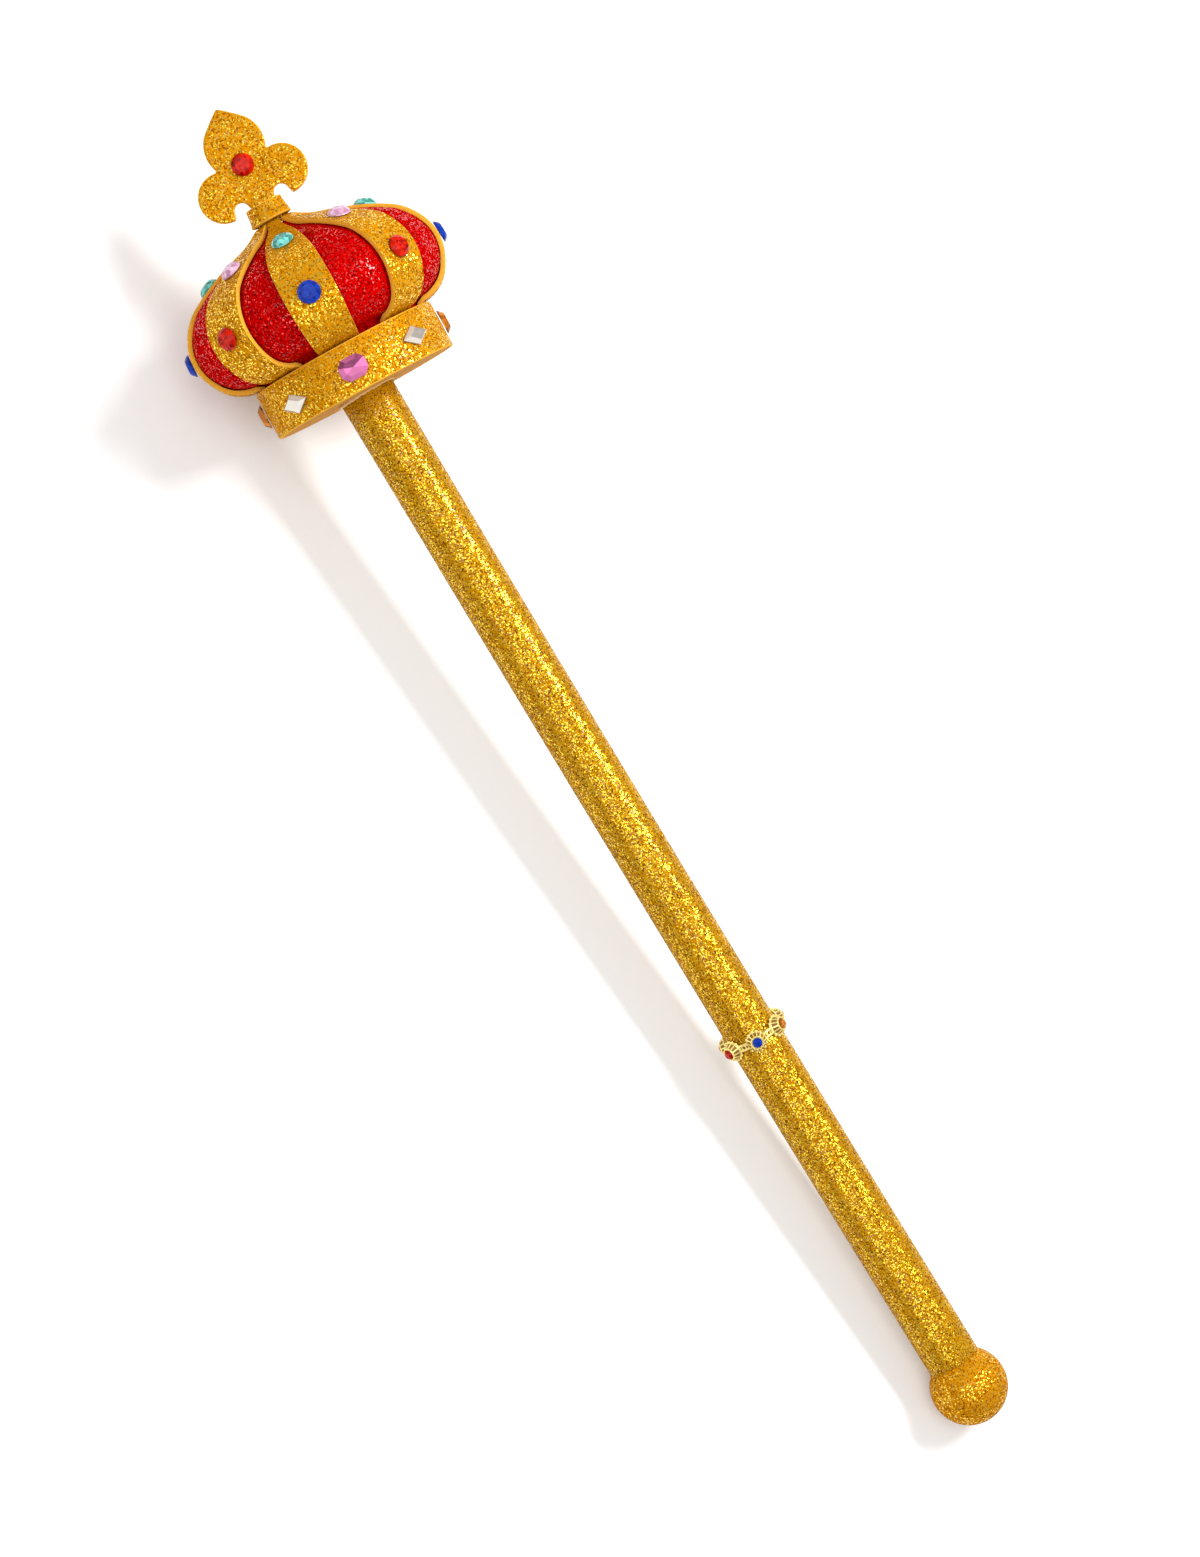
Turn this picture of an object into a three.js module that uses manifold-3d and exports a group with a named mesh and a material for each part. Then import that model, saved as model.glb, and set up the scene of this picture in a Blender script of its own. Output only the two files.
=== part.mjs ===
// Costume sceptre of glitter craft foam: a wrapped shaft with a ball pommel and a jewelled
// trim, and a crown-shaped head of foam strips over a red dome, topped by a fleur-de-lis.
// Millimetres, +Z up. The sceptre lies on the ground, crown toward +X, resting on its ball
// and on two strips of the crown. The origin is under the middle of its bounding box.
//
// It is modelled upright first: z = 0 where the shaft enters the crown, the front toward -Y.
// Angles round the axis run from the front toward +X.
import * as THREE from "three";
import * as BufferGeometryUtils from "three/addons/utils/BufferGeometryUtils.js";
import Module from "manifold-3d";

// Common
const GAP = 0.3; // between pieces that touch
const FOAM = 2; // craft foam sheet
const DEG = Math.PI / 180;

// Shaft and ball
const SHAFT_R = 11;
const SHAFT_TOP = 2; // its upper end, inside the crown's base
const SHAFT_STATIONS = 6;
const SHAFT_SIDES = 30;
const SHAFT_BOW = 1; // it bends a little to the left in the middle
const BALL_R = 15.8;
const BALL_ROWS = 13;
const BALL_SIDES = 32;
const SHAFT_FLARE = 0.4; // the wrap thickens toward the crown
const BALL_DROP = 464.8; // down to the ball's centre
const REST_SPOT_DEPTH = 0.3; // flat spot that keeps the ball from rolling
const SEAT_R = SHAFT_R + 0.2; // flat on the ball where the shaft is glued
const SIDES = 48; // of the headband

// Head, leaning a little to the right of the shaft
const HEAD_LEAN = 2.7 * DEG;
const BAND_R = 39;
const BAND_BOTTOM = 0.9;
const BAND_TOP = 20.4;
const BASE_R = BAND_R - FOAM - GAP;
const BASE_TOP = BAND_BOTTOM + FOAM;
const STRIP_TURNS = [-0.9, 43.4, 90, 135, 180, 225, 270, 317.6]; // degrees, set by hand and eye
const STRIP_WIDTHS = [1, 0.9, 1, 1, 1, 1, 1, 0.96]; // cut by hand too, over the path's width
const DOME_GAP = 0.4; // air between the foam strips and the red dome
const DOME_BOTTOM = BASE_TOP + 2 * GAP;
const DOME_TOP_R = 5;
const DOME_ROWS = 19;
const DOME_SIDES = 36;

// Outer face of a strip from under the collar down into the headband: radius, height, width
const STRIP_PATH = [
  [7.4, 77.2, 4.8],
  [9.6, 76.0, 5.4],
  [12.6, 74.1, 6.5],
  [17.2, 72.1, 8.7],
  [24.5, 69.8, 12.0],
  [34.5, 65.6, 15.7],
  [41.7, 61.9, 18.0],
  [47.2, 58.0, 19.5],
  [51.6, 52.4, 20.4],
  [54.2, 46.4, 20.8],
  [54.8, 40.2, 20.7],
  [53.6, 34.4, 20.3],
  [50.6, 28.6, 19.4],
  [46.8, 24.6, 18.8],
  [41.4, 21.9, 18.2],
  [37.6, 21.2, 17.8],
  [35.4, 20.0, 17.6],
  [34.9, 17.0, 17.6],
  [34.9, 10.0, 17.6],
  [34.9, DOME_BOTTOM + GAP, 17.6],
];
const STRIP_STATIONS = 27;

// Stones: height, thickness of the edge, and table over outline
const STONE = { height: 2.4, edge: 0.6, table: 0.62 };
const ROUND_STONE_R = 4.65;
const ROUND_STONE_SIDES = 12;
const EQUATOR_STONE_Z = 42.7;
const SHOULDER_STONE_R = 34.7;
const BAND_STONE_TURNS = [0, 43.4, 90, 135, 180, 225, 270, 317.6]; // degrees
const BAND_STONE_Z = [10.2, 10.2, 10.8, 10.2, 10.2, 10.2, 11.3, 9.1]; // glued on by eye
const OCTAGON = { width: 11.3, height: 9.1, corner: 2.4 };
const RHOMBUS = { width: 14, height: 8.2 };
const OVAL = { width: 8.4, height: 10, sides: 16 };

// Collar, a foam strip wound round the fleur's stem
const COLLAR = { bottom: 78, height: 7.2, inner: 5.9, start: 7.5, end: 8.3, flare: 1.05, sides: 32 };
const COLLAR_END_ANGLE = 62 * DEG;

// Fleur-de-lis, half outline measured from the collar's top and its own middle
const FLEUR_THICKNESS = 3.8;
const FLEUR_LEAN = 1.8 * DEG;
const FLEUR_SHIFT = -0.5; // of its middle from the collar's
const FLEUR_TIP = 40.9;
const PETAL = { x: -1, z: 25, r: 13.2, from: -27 * DEG, to: 38 * DEG };
const LOBE = { x: 12.9, z: 8.8, r: 10.2, from: 101 * DEG, to: -92 * DEG };
const PETAL_BEND = [6.4, 36.2];
const TIP_BLUNTNESS = 0.9;
const HOOK = { x: 8.65, z: 1.1, r: 3.05 };
const STEM = { halfWidth: 4.6, depth: 9.4, shoulder: -0.5 }; // glued down inside the collar
const FLEUR_BEVEL = 0.6;
const FLEUR_STEPS = { hook: 7, lobe: 14, petal: 7, tip: 4 };
const FLEUR_STONE_Z = 16.9;

// Trim ring: domed flower settings joined by two thin bars
const TRIM_Z = -297.5;
const TRIM_TURNS = [-1, 56, 113, 170, 245, 302]; // degrees, its two ends meet behind
const TRIM_TILT = 7 * DEG; // lower in front
const SETTING = { rim: 4.5, notch: 4, scallops: 10, height: 3.5, bezel: 2.7, recess: 2.35 };
const SETTING_SIDE = { bottom: -2.75, rim: 0.7, shoulder: 2.1, shoulderR: 3.6 }; // heights, and a radius
const RECESS_DEPTH = 0.8;
const TRIM_BAR = { thickness: 0.8, width: 1, spacing: 2.2, sides: 30 };
const TRIM_BORE_LENGTH = 46; // of the cut that leaves room for the shaft
const TRIM_STONE = { r: 2.05, height: 1.4, edge: 0.5, table: 0.7, sides: 10 };

const COLOURS = {
  shaft: 0xb98c24,
  ball: 0xc58314,
  foam: 0xd2961e,
  fleur: 0xdea028,
  dome: 0xc01210,
  gilt: 0xe6c95c,
  sapphire: 0x2543a2,
  ruby: 0xb81c1c,
  turquoise: 0x80bfb7,
  lilac: 0xd9a6c4,
  pink: 0xc77197,
  silver: 0xc9c9c6,
  topaz: 0xb9781f,
};

const wasm = await Module();
wasm.setup();

// ---------------------------------------------------------------- helpers

function toSolid(geometry) {
  const bare = geometry.clone();
  bare.deleteAttribute("normal");
  bare.deleteAttribute("uv");
  const merged = BufferGeometryUtils.mergeVertices(bare, 1e-4);
  return new wasm.Manifold(new wasm.Mesh({
    numProp: 3,
    vertProperties: new Float32Array(merged.attributes.position.array),
    triVerts: new Uint32Array(merged.index.array),
  }));
}

function fromSolid(solid) {
  const mesh = solid.getMesh();
  const geometry = new THREE.BufferGeometry();
  geometry.setAttribute("position", new THREE.BufferAttribute(mesh.vertProperties, 3));
  geometry.setIndex(new THREE.BufferAttribute(mesh.triVerts, 1));
  geometry.computeVertexNormals();
  return geometry;
}

function makeMesh(name, geometry, colour, roughness, metalness) {
  const material = new THREE.MeshStandardMaterial({ color: colour, roughness, metalness });
  const mesh = new THREE.Mesh(geometry, material);
  mesh.name = name;
  return mesh;
}

// Turned round the z axis, standing up, from [radius, height] pairs that start and end on it
function turned(pairs, sides) {
  const profile = pairs.map(([r, z]) => new THREE.Vector2(r, z));
  return new THREE.LatheGeometry(profile, sides).rotateX(Math.PI / 2);
}

function ringProfile(inner, outer, bottom, top) {
  return [[inner, bottom], [outer, bottom], [outer, top], [inner, top], [inner, bottom]];
}

// A node placed at an angle round the axis holds what is modelled facing the front
function atAngle(angle, child) {
  const turn = new THREE.Group();
  turn.rotation.z = angle;
  turn.add(child);
  return turn;
}

// ---------------------------------------------------------------- stones

function ovalOutline(width, height, sides) {
  const points = [];
  for (let i = 0; i < sides; i++) {
    const a = ((i + 0.5) * 2 * Math.PI) / sides;
    points.push(new THREE.Vector2((width / 2) * Math.cos(a), (height / 2) * Math.sin(a)));
  }
  return points;
}

function octagonOutline({ width, height, corner }) {
  const x = width / 2;
  const y = height / 2;
  const corners = [
    [x, y - corner], [x - corner, y], [corner - x, y], [-x, y - corner],
    [-x, corner - y], [corner - x, -y], [x - corner, -y], [x, corner - y],
  ];
  return corners.map(([u, v]) => new THREE.Vector2(u, v));
}

function rhombusOutline({ width, height }) {
  const corners = [[width / 2, 0], [0, height / 2], [-width / 2, 0], [0, -height / 2]];
  return corners.map(([u, v]) => new THREE.Vector2(u, v));
}

// A flat-backed stone: upright edge, then facets rising to a flat table. Its back lies at
// z = 0 and it faces +Z.
function cutStone(outline, { height, edge, table }) {
  const options = { depth: height, steps: 2, bevelEnabled: false };
  const geometry = new THREE.ExtrudeGeometry(new THREE.Shape(outline), options);
  const position = geometry.attributes.position;
  for (let i = 0; i < position.count; i++) {
    const level = Math.round((2 * position.getZ(i)) / height);
    if (level === 1) position.setZ(i, edge);
    if (level === 2) {
      position.setX(i, position.getX(i) * table);
      position.setY(i, position.getY(i) * table);
    }
  }
  return geometry;
}

// Sets a stone on the front of the head: its back at [radius, z], facing up by the given pitch
function setOnFront(mesh, radius, z, pitch) {
  mesh.rotation.x = Math.PI / 2 - pitch;
  mesh.position.set(0, -radius, z);
  return mesh;
}

// ---------------------------------------------------------------- crown

const stripCurve = new THREE.CatmullRomCurve3(
  STRIP_PATH.map(([r, z, width]) => new THREE.Vector3(r, z, width)),
);

// Where the strip is at a fraction of its path: radius, height, width and outward normal
function stripAt(fraction) {
  const point = stripCurve.getPoint(fraction);
  const tangent = stripCurve.getTangent(fraction);
  const normal = new THREE.Vector2(-tangent.y, tangent.x).normalize();
  return { r: point.x, z: point.y, width: point.z, normal };
}

// The first fraction of the path at which a test on the strip is true
function findOnStrip(test) {
  let fraction = 0;
  while (!test(stripAt(fraction))) fraction += 0.001;
  return stripAt(fraction);
}

// A flat strip cut from sheet, bent over the dome at the front
function stripGeometry(widthShare) {
  const sheet = new THREE.BoxGeometry(1, 1, FOAM, 1, STRIP_STATIONS, 1);
  const position = sheet.attributes.position;
  for (let i = 0; i < position.count; i++) {
    const at = stripAt(0.5 - position.getY(i));
    const depth = position.getZ(i) - FOAM / 2;
    const r = at.r + at.normal.x * depth;
    const z = at.z + at.normal.y * depth;
    position.setXYZ(i, position.getX(i) * at.width * widthShare, -r, z);
  }
  return sheet;
}

function domeGeometry() {
  const inset = FOAM + DOME_GAP;
  const pairs = [[0, DOME_BOTTOM]];
  for (let i = DOME_ROWS; i >= 0; i--) {
    const at = stripAt(i / DOME_ROWS);
    const r = at.r - at.normal.x * inset;
    const z = at.z - at.normal.y * inset;
    if (r > DOME_TOP_R && z > DOME_BOTTOM) pairs.push([r, z]);
  }
  const [, , [footR]] = pairs;
  const [, topZ] = pairs[pairs.length - 1];
  pairs.splice(1, 0, [footR, DOME_BOTTOM]);
  pairs.push([0, topZ]);
  return turned(pairs, DOME_SIDES);
}

function buildCrown() {
  const crown = new THREE.Group();
  const band = turned(ringProfile(BAND_R - FOAM, BAND_R, BAND_BOTTOM, BAND_TOP), SIDES);
  const hole = SHAFT_R + SHAFT_FLARE + GAP;
  const base = turned(ringProfile(hole, BASE_R, BAND_BOTTOM, BASE_TOP), SIDES);
  crown.add(makeMesh("headband", band, COLOURS.foam, 0.55, 0.25));
  crown.add(makeMesh("crown_base", base, COLOURS.foam, 0.6, 0.2));
  crown.add(makeMesh("crown_dome", domeGeometry(), COLOURS.dome, 0.45, 0.2));

  const equator = findOnStrip(({ z }) => z < EQUATOR_STONE_Z);
  const shoulder = findOnStrip(({ r }) => r > SHOULDER_STONE_R);
  const roundOutline = ovalOutline(2 * ROUND_STONE_R, 2 * ROUND_STONE_R, ROUND_STONE_SIDES);
  for (const [i, degrees] of STRIP_TURNS.entries()) {
    const angle = degrees * DEG;
    const number = i + 1;
    const strip = makeMesh(`strip_${number}`, stripGeometry(STRIP_WIDTHS[i]), COLOURS.foam, 0.6, 0.2);
    crown.add(atAngle(angle, strip));

    const onCross = i % 2 === 0;
    const places = [
      ["equator_stone", equator, onCross ? COLOURS.sapphire : COLOURS.ruby],
      ["shoulder_stone", shoulder, onCross ? COLOURS.turquoise : COLOURS.lilac],
    ];
    for (const [name, { r, z, normal }, colour] of places) {
      const stone = makeMesh(`${name}_${number}`, cutStone(roundOutline, STONE), colour, 0.12, 0);
      const pitch = Math.atan2(normal.y, normal.x);
      setOnFront(stone, r + GAP * normal.x, z + GAP * normal.y, pitch);
      crown.add(atAngle(angle, stone));
    }
  }
  return crown;
}

function addBandStones(head) {
  const octagon = ["pink", octagonOutline(OCTAGON), 0.1, 0];
  const rhombus = ["silver", rhombusOutline(RHOMBUS), 0.15, 0.7];
  const oval = ["topaz", ovalOutline(OVAL.width, OVAL.height, OVAL.sides), 0.15, 0.1];
  const round = [octagon, rhombus, oval, rhombus];
  for (const [i, degrees] of BAND_STONE_TURNS.entries()) {
    const [colour, outline, roughness, metalness] = round[i % round.length];
    const geometry = cutStone(outline, STONE);
    const stone = makeMesh(`band_stone_${i + 1}`, geometry, COLOURS[colour], roughness, metalness);
    setOnFront(stone, BAND_R + GAP, BAND_STONE_Z[i], 0);
    head.add(atAngle(degrees * DEG, stone));
  }
}

// ---------------------------------------------------------------- collar and fleur

// Plan of the wound strip: its outside grows over one turn, so that its end stands as a step
function collarGeometry() {
  const { height, inner, start, end, flare, sides } = COLLAR;
  const outline = [];
  for (let i = 0; i <= sides; i++) {
    const angle = COLLAR_END_ANGLE - Math.PI / 2 - (i * 2 * Math.PI) / sides;
    const r = end + ((start - end) * i) / sides;
    outline.push(new THREE.Vector2(r * Math.cos(angle), r * Math.sin(angle)));
  }
  const plan = new THREE.Shape(outline);
  plan.holes.push(new THREE.Path().absarc(0, 0, inner, 0, 2 * Math.PI));
  const options = { depth: height, bevelEnabled: false, curveSegments: sides / 2 };
  const geometry = new THREE.ExtrudeGeometry(plan, options);
  const position = geometry.attributes.position;
  for (let i = 0; i < position.count; i++) {
    if (position.getZ(i) > 0) continue;
    position.setX(i, position.getX(i) * flare);
    position.setY(i, position.getY(i) * flare);
  }
  return geometry;
}

function arcPoints({ x, z, r }, from, to, steps) {
  const points = [];
  for (let i = 0; i <= steps; i++) {
    const angle = from + ((to - from) * i) / steps;
    points.push(new THREE.Vector2(x + r * Math.cos(angle), z + r * Math.sin(angle)));
  }
  return points;
}

// Right half from the stem round the hook, the side lobe and the top petal, then mirrored
function fleurShape() {
  const petal = arcPoints(PETAL, PETAL.from, PETAL.to, FLEUR_STEPS.petal);
  const shoulder = new THREE.QuadraticBezierCurve(
    petal[petal.length - 1],
    new THREE.Vector2(...PETAL_BEND),
    new THREE.Vector2(TIP_BLUNTNESS, FLEUR_TIP - TIP_BLUNTNESS / 2),
  );
  const half = [
    new THREE.Vector2(STEM.halfWidth, -STEM.depth),
    new THREE.Vector2(STEM.halfWidth, STEM.shoulder),
    ...arcPoints(HOOK, Math.PI, 0, FLEUR_STEPS.hook),
    ...arcPoints(LOBE, LOBE.to, LOBE.from, FLEUR_STEPS.lobe),
    ...petal,
    ...shoulder.getPoints(FLEUR_STEPS.tip).slice(1),
    new THREE.Vector2(0, FLEUR_TIP),
  ];
  const other = half.slice(0, -1).reverse().map(({ x, y }) => new THREE.Vector2(-x, y));
  return new THREE.Shape([...half, ...other]);
}

// The plate stands in the XZ plane, its stem inside the collar, its front toward -Y
function addFleur(head) {
  const options = {
    depth: FLEUR_THICKNESS - 2 * FLEUR_BEVEL,
    bevelThickness: FLEUR_BEVEL,
    bevelSize: FLEUR_BEVEL,
    bevelOffset: -FLEUR_BEVEL,
    bevelSegments: 1,
  };
  const plate = new THREE.ExtrudeGeometry(fleurShape(), options);
  plate.translate(0, 0, FLEUR_BEVEL - FLEUR_THICKNESS / 2).rotateX(Math.PI / 2);
  const stoneOutline = ovalOutline(2 * ROUND_STONE_R, 2 * ROUND_STONE_R, ROUND_STONE_SIDES);
  const stone = makeMesh("fleur_stone", cutStone(stoneOutline, STONE), COLOURS.ruby, 0.12, 0);
  const fleur = new THREE.Group();
  fleur.position.set(FLEUR_SHIFT, 0, COLLAR.bottom + COLLAR.height);
  fleur.rotation.y = FLEUR_LEAN;
  fleur.add(makeMesh("fleur", plate, COLOURS.fleur, 0.55, 0.25));
  fleur.add(setOnFront(stone, FLEUR_THICKNESS / 2 + GAP, FLEUR_STONE_Z, 0));
  head.add(fleur);

  const collar = makeMesh("collar", collarGeometry(), COLOURS.foam, 0.6, 0.2);
  collar.position.z = COLLAR.bottom;
  head.add(collar);
}

// ---------------------------------------------------------------- shaft

// How far the shaft's middle line lies off the straight at a height
function bowAt(z) {
  const fraction = Math.min(0, z) / -BALL_DROP;
  return -SHAFT_BOW * 4 * fraction * (1 - fraction);
}

function shaftGeometry() {
  const bottom = Math.sqrt(BALL_R ** 2 - SEAT_R ** 2) + GAP - BALL_DROP;
  const pairs = [[0, bottom]];
  for (let i = 0; i <= SHAFT_STATIONS; i++) {
    const fraction = i / SHAFT_STATIONS;
    const r = SHAFT_R + SHAFT_FLARE * fraction ** 3;
    pairs.push([r, bottom + (SHAFT_TOP - bottom) * fraction]);
  }
  pairs.push([0, SHAFT_TOP]);
  const geometry = turned(pairs, SHAFT_SIDES);
  const position = geometry.attributes.position;
  for (let i = 0; i < position.count; i++) {
    position.setX(i, position.getX(i) + bowAt(position.getZ(i)));
  }
  return geometry;
}

// ---------------------------------------------------------------- trim ring

// One domed setting on the front of the shaft, with a scalloped rim and a recess for its stone
function settingGeometry() {
  const { rim, notch, scallops, height, bezel, recess } = SETTING;
  const floor = height - RECESS_DEPTH;
  const side = SETTING_SIDE;
  const pairs = [
    [0, side.bottom], [rim, side.bottom], [rim, side.rim], [side.shoulderR, side.shoulder],
    [bezel, height], [recess, height], [recess, floor], [0, floor],
  ];
  const geometry = turned(pairs, 2 * scallops);
  const position = geometry.attributes.position;
  for (let i = 0; i < position.count; i++) {
    const x = position.getX(i);
    const y = position.getY(i);
    const spoke = Math.round((Math.atan2(y, x) * scallops) / Math.PI);
    if (spoke % 2 === 0 || Math.hypot(x, y) < bezel + GAP) continue;
    position.setX(i, (x * notch) / rim);
    position.setY(i, (y * notch) / rim);
  }
  geometry.rotateX(Math.PI / 2).translate(0, -SHAFT_R, 0);
  return geometry;
}

function addTrim(staff) {
  const trim = new THREE.Group();
  trim.position.set(bowAt(TRIM_Z), 0, TRIM_Z);
  trim.rotation.x = TRIM_TILT;
  staff.add(trim);

  const inner = SHAFT_R + GAP;
  let ring = null;
  for (const side of [-1, 1]) {
    const middle = (side * TRIM_BAR.spacing) / 2;
    const edges = [middle - TRIM_BAR.width / 2, middle + TRIM_BAR.width / 2];
    const profile = ringProfile(inner - GAP, inner + TRIM_BAR.thickness, ...edges);
    const bar = toSolid(turned(profile, TRIM_BAR.sides));
    ring = ring ? ring.add(bar) : bar;
  }
  const stoneOutline = ovalOutline(2 * TRIM_STONE.r, 2 * TRIM_STONE.r, TRIM_STONE.sides);
  const stoneBack = SHAFT_R + SETTING.height - RECESS_DEPTH + GAP;
  const colours = [COLOURS.sapphire, COLOURS.topaz, COLOURS.ruby];
  for (const [i, degrees] of TRIM_TURNS.entries()) {
    const angle = degrees * DEG;
    ring = ring.add(toSolid(settingGeometry().rotateZ(angle)));
    const colour = colours[i % colours.length];
    const stone = makeMesh(`trim_stone_${i + 1}`, cutStone(stoneOutline, TRIM_STONE), colour, 0.12, 0);
    trim.add(atAngle(angle, setOnFront(stone, stoneBack, 0, 0)));
  }
  const clearance = new THREE.CylinderGeometry(inner, inner, TRIM_BORE_LENGTH, TRIM_BAR.sides);
  clearance.rotateX(Math.PI / 2 - TRIM_TILT);
  const cut = fromSolid(ring.subtract(toSolid(clearance)));
  trim.add(makeMesh("trim_ring", cut, COLOURS.gilt, 0.3, 1));
}

// ---------------------------------------------------------------- resting on the ground

function worldPoints(mesh) {
  const points = [];
  const position = mesh.geometry.attributes.position;
  for (let i = 0; i < position.count; i++) {
    points.push(mesh.localToWorld(new THREE.Vector3().fromBufferAttribute(position, i)));
  }
  return points;
}

function furthest(points, direction) {
  return points.reduce((best, p) => (p.dot(direction) > best.dot(direction) ? p : best));
}

// The direction of the ground for a plane that touches two strips and the ball's flat spot
function groundDirection(stripA, stripB, ballCentre, ballReach, guess) {
  let down = guess.clone();
  for (let round = 0; round < 4; round++) {
    const a = furthest(stripA, down);
    const b = furthest(stripB, down);
    const along = b.clone().sub(a).normalize();
    const arm = a.clone().sub(ballCentre);
    arm.addScaledVector(along, -arm.dot(along));
    const length = arm.length();
    const e1 = arm.normalize();
    const e2 = new THREE.Vector3().crossVectors(along, e1);
    if (e2.dot(guess) < 0) e2.negate();
    const cosine = ballReach / length;
    down = e1.multiplyScalar(cosine).addScaledVector(e2, Math.sqrt(1 - cosine * cosine));
  }
  return down;
}

function ballGeometry(centre, down) {
  const top = Math.acos(SEAT_R / BALL_R);
  const pairs = [];
  for (let i = 0; i <= BALL_ROWS; i++) {
    const latitude = -Math.PI / 2 + ((top + Math.PI / 2) * i) / BALL_ROWS;
    pairs.push([i === 0 ? 0 : BALL_R * Math.cos(latitude), BALL_R * Math.sin(latitude)]);
  }
  pairs.push([0, BALL_R * Math.sin(top)]);
  const cutter = new THREE.BoxGeometry(BALL_R, BALL_R, BALL_R);
  cutter.translate(0, 0, 1.5 * BALL_R - REST_SPOT_DEPTH);
  const turn = new THREE.Quaternion().setFromUnitVectors(new THREE.Vector3(0, 0, 1), down);
  cutter.applyQuaternion(turn);
  const solid = toSolid(turned(pairs, BALL_SIDES)).subtract(toSolid(cutter));
  return fromSolid(solid).translate(centre.x, centre.y, centre.z);
}

// ---------------------------------------------------------------- the sceptre

const sceptre = new THREE.Group();
const head = buildCrown();
head.rotation.y = HEAD_LEAN;
addBandStones(head);
addFleur(head);
sceptre.add(head);
sceptre.updateMatrixWorld(true);

const ballCentre = new THREE.Vector3(0, 0, -BALL_DROP);
const restAngle = ((STRIP_TURNS[4] + STRIP_TURNS[5]) / 2) * DEG;
const guess = new THREE.Vector3(Math.sin(restAngle), -Math.cos(restAngle), 0);
const down = groundDirection(
  worldPoints(sceptre.getObjectByName("strip_5")),
  worldPoints(sceptre.getObjectByName("strip_6")),
  ballCentre,
  BALL_R - REST_SPOT_DEPTH,
  guess,
);

sceptre.add(makeMesh("shaft", shaftGeometry(), COLOURS.shaft, 0.4, 0.4));
sceptre.add(makeMesh("pommel_ball", ballGeometry(ballCentre, down), COLOURS.ball, 0.55, 0.3));
addTrim(sceptre);

// Laid down: the ground below, the crown toward +X
const up = down.clone().negate();
const along = new THREE.Vector3(0, 0, 1).addScaledVector(up, -up.z).normalize();
const across = new THREE.Vector3().crossVectors(up, along);
const standing = new THREE.Matrix4().makeBasis(along, across, up);
sceptre.applyMatrix4(standing.transpose());

const object = new THREE.Group();
object.add(sceptre);
const box = new THREE.Box3().setFromObject(object, true);
const middle = box.getCenter(new THREE.Vector3());
sceptre.position.sub(new THREE.Vector3(middle.x, middle.y, box.min.z));

export default object;
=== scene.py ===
# A costume sceptre made by hand from craft foam, glitter and acrylic stones. It lies on a
# pale floor, resting on its ball and on the edges of two strips of its crown.
import math
import random

import bmesh
import bpy
from mathutils import Matrix, Vector


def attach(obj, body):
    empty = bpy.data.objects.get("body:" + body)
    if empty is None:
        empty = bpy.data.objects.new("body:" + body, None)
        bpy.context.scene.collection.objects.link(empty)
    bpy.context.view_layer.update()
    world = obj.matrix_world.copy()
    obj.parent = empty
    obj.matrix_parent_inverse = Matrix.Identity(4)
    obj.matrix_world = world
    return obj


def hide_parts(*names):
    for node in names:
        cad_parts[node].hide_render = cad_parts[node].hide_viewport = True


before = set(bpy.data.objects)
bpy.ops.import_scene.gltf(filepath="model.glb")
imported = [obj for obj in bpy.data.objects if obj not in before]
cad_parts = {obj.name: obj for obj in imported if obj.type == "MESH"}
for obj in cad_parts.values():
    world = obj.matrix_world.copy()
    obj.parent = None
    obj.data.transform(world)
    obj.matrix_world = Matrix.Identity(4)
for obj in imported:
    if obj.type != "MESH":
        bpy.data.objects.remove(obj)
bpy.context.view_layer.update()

# ------------------------------------------------------------------ the shaft
# A cardboard tube about 22 mm thick, wrapped lengthwise in glitter film with a lapped seam
# down the back. The wrap thickens a little toward the crown and the tube is slightly bowed.
MM = 0.001
GAP = 0.3 * MM          # between pieces that touch
SHAFT_R = 11 * MM
SHAFT_TOP = 2 * MM      # its upper end, inside the crown's base
SHAFT_BOW = 1 * MM
SHAFT_FLARE = 0.4 * MM
SHAFT_SIDES = 30        # of the plain solid
LAP, LAP_ANGLE = 0.25 * MM, 28  # the seam of the wrap: its step, and its width in degrees


def corners_of(node):
    """Each corner of a CAD node once."""
    return [Vector(c) for c in sorted({tuple(round(x, 7) for x in v.co)
                                       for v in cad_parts[node].data.vertices})]


def middle_of(points):
    return sum(points, Vector()) / len(points)


def axes(right, back, up, origin):
    """A matrix that carries a piece modelled upright (front to -Y) to where it lies."""
    turn = Matrix((right, back, up)).transposed().to_4x4()
    return Matrix.Translation(origin) @ turn


along_shaft = sorted(corners_of("shaft"), key=lambda p: p.x)
shaft_foot, shaft_head = middle_of(along_shaft[:SHAFT_SIDES]), middle_of(along_shaft[-SHAFT_SIDES:])
up = (shaft_head - shaft_foot).normalized()
front = (middle_of(corners_of("band_stone_1")) - middle_of(corners_of("band_stone_5"))).normalized()
staff = axes(up.cross(front), -front, up, shaft_head - SHAFT_TOP * up)
shaft_length = (shaft_head - shaft_foot).length


def clear_selection():
    if bpy.context.object and bpy.context.object.mode != "OBJECT":
        bpy.ops.object.mode_set(mode="OBJECT")
    bpy.ops.object.select_all(action="DESELECT")


def start_editing(piece, mode="VERT"):
    """Opens a piece for editing with nothing selected."""
    clear_selection()
    piece.select_set(True)
    bpy.context.view_layer.objects.active = piece
    bpy.ops.object.mode_set(mode="EDIT")
    bpy.ops.mesh.select_mode(type=mode)
    bpy.ops.mesh.select_all(action="DESELECT")


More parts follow.
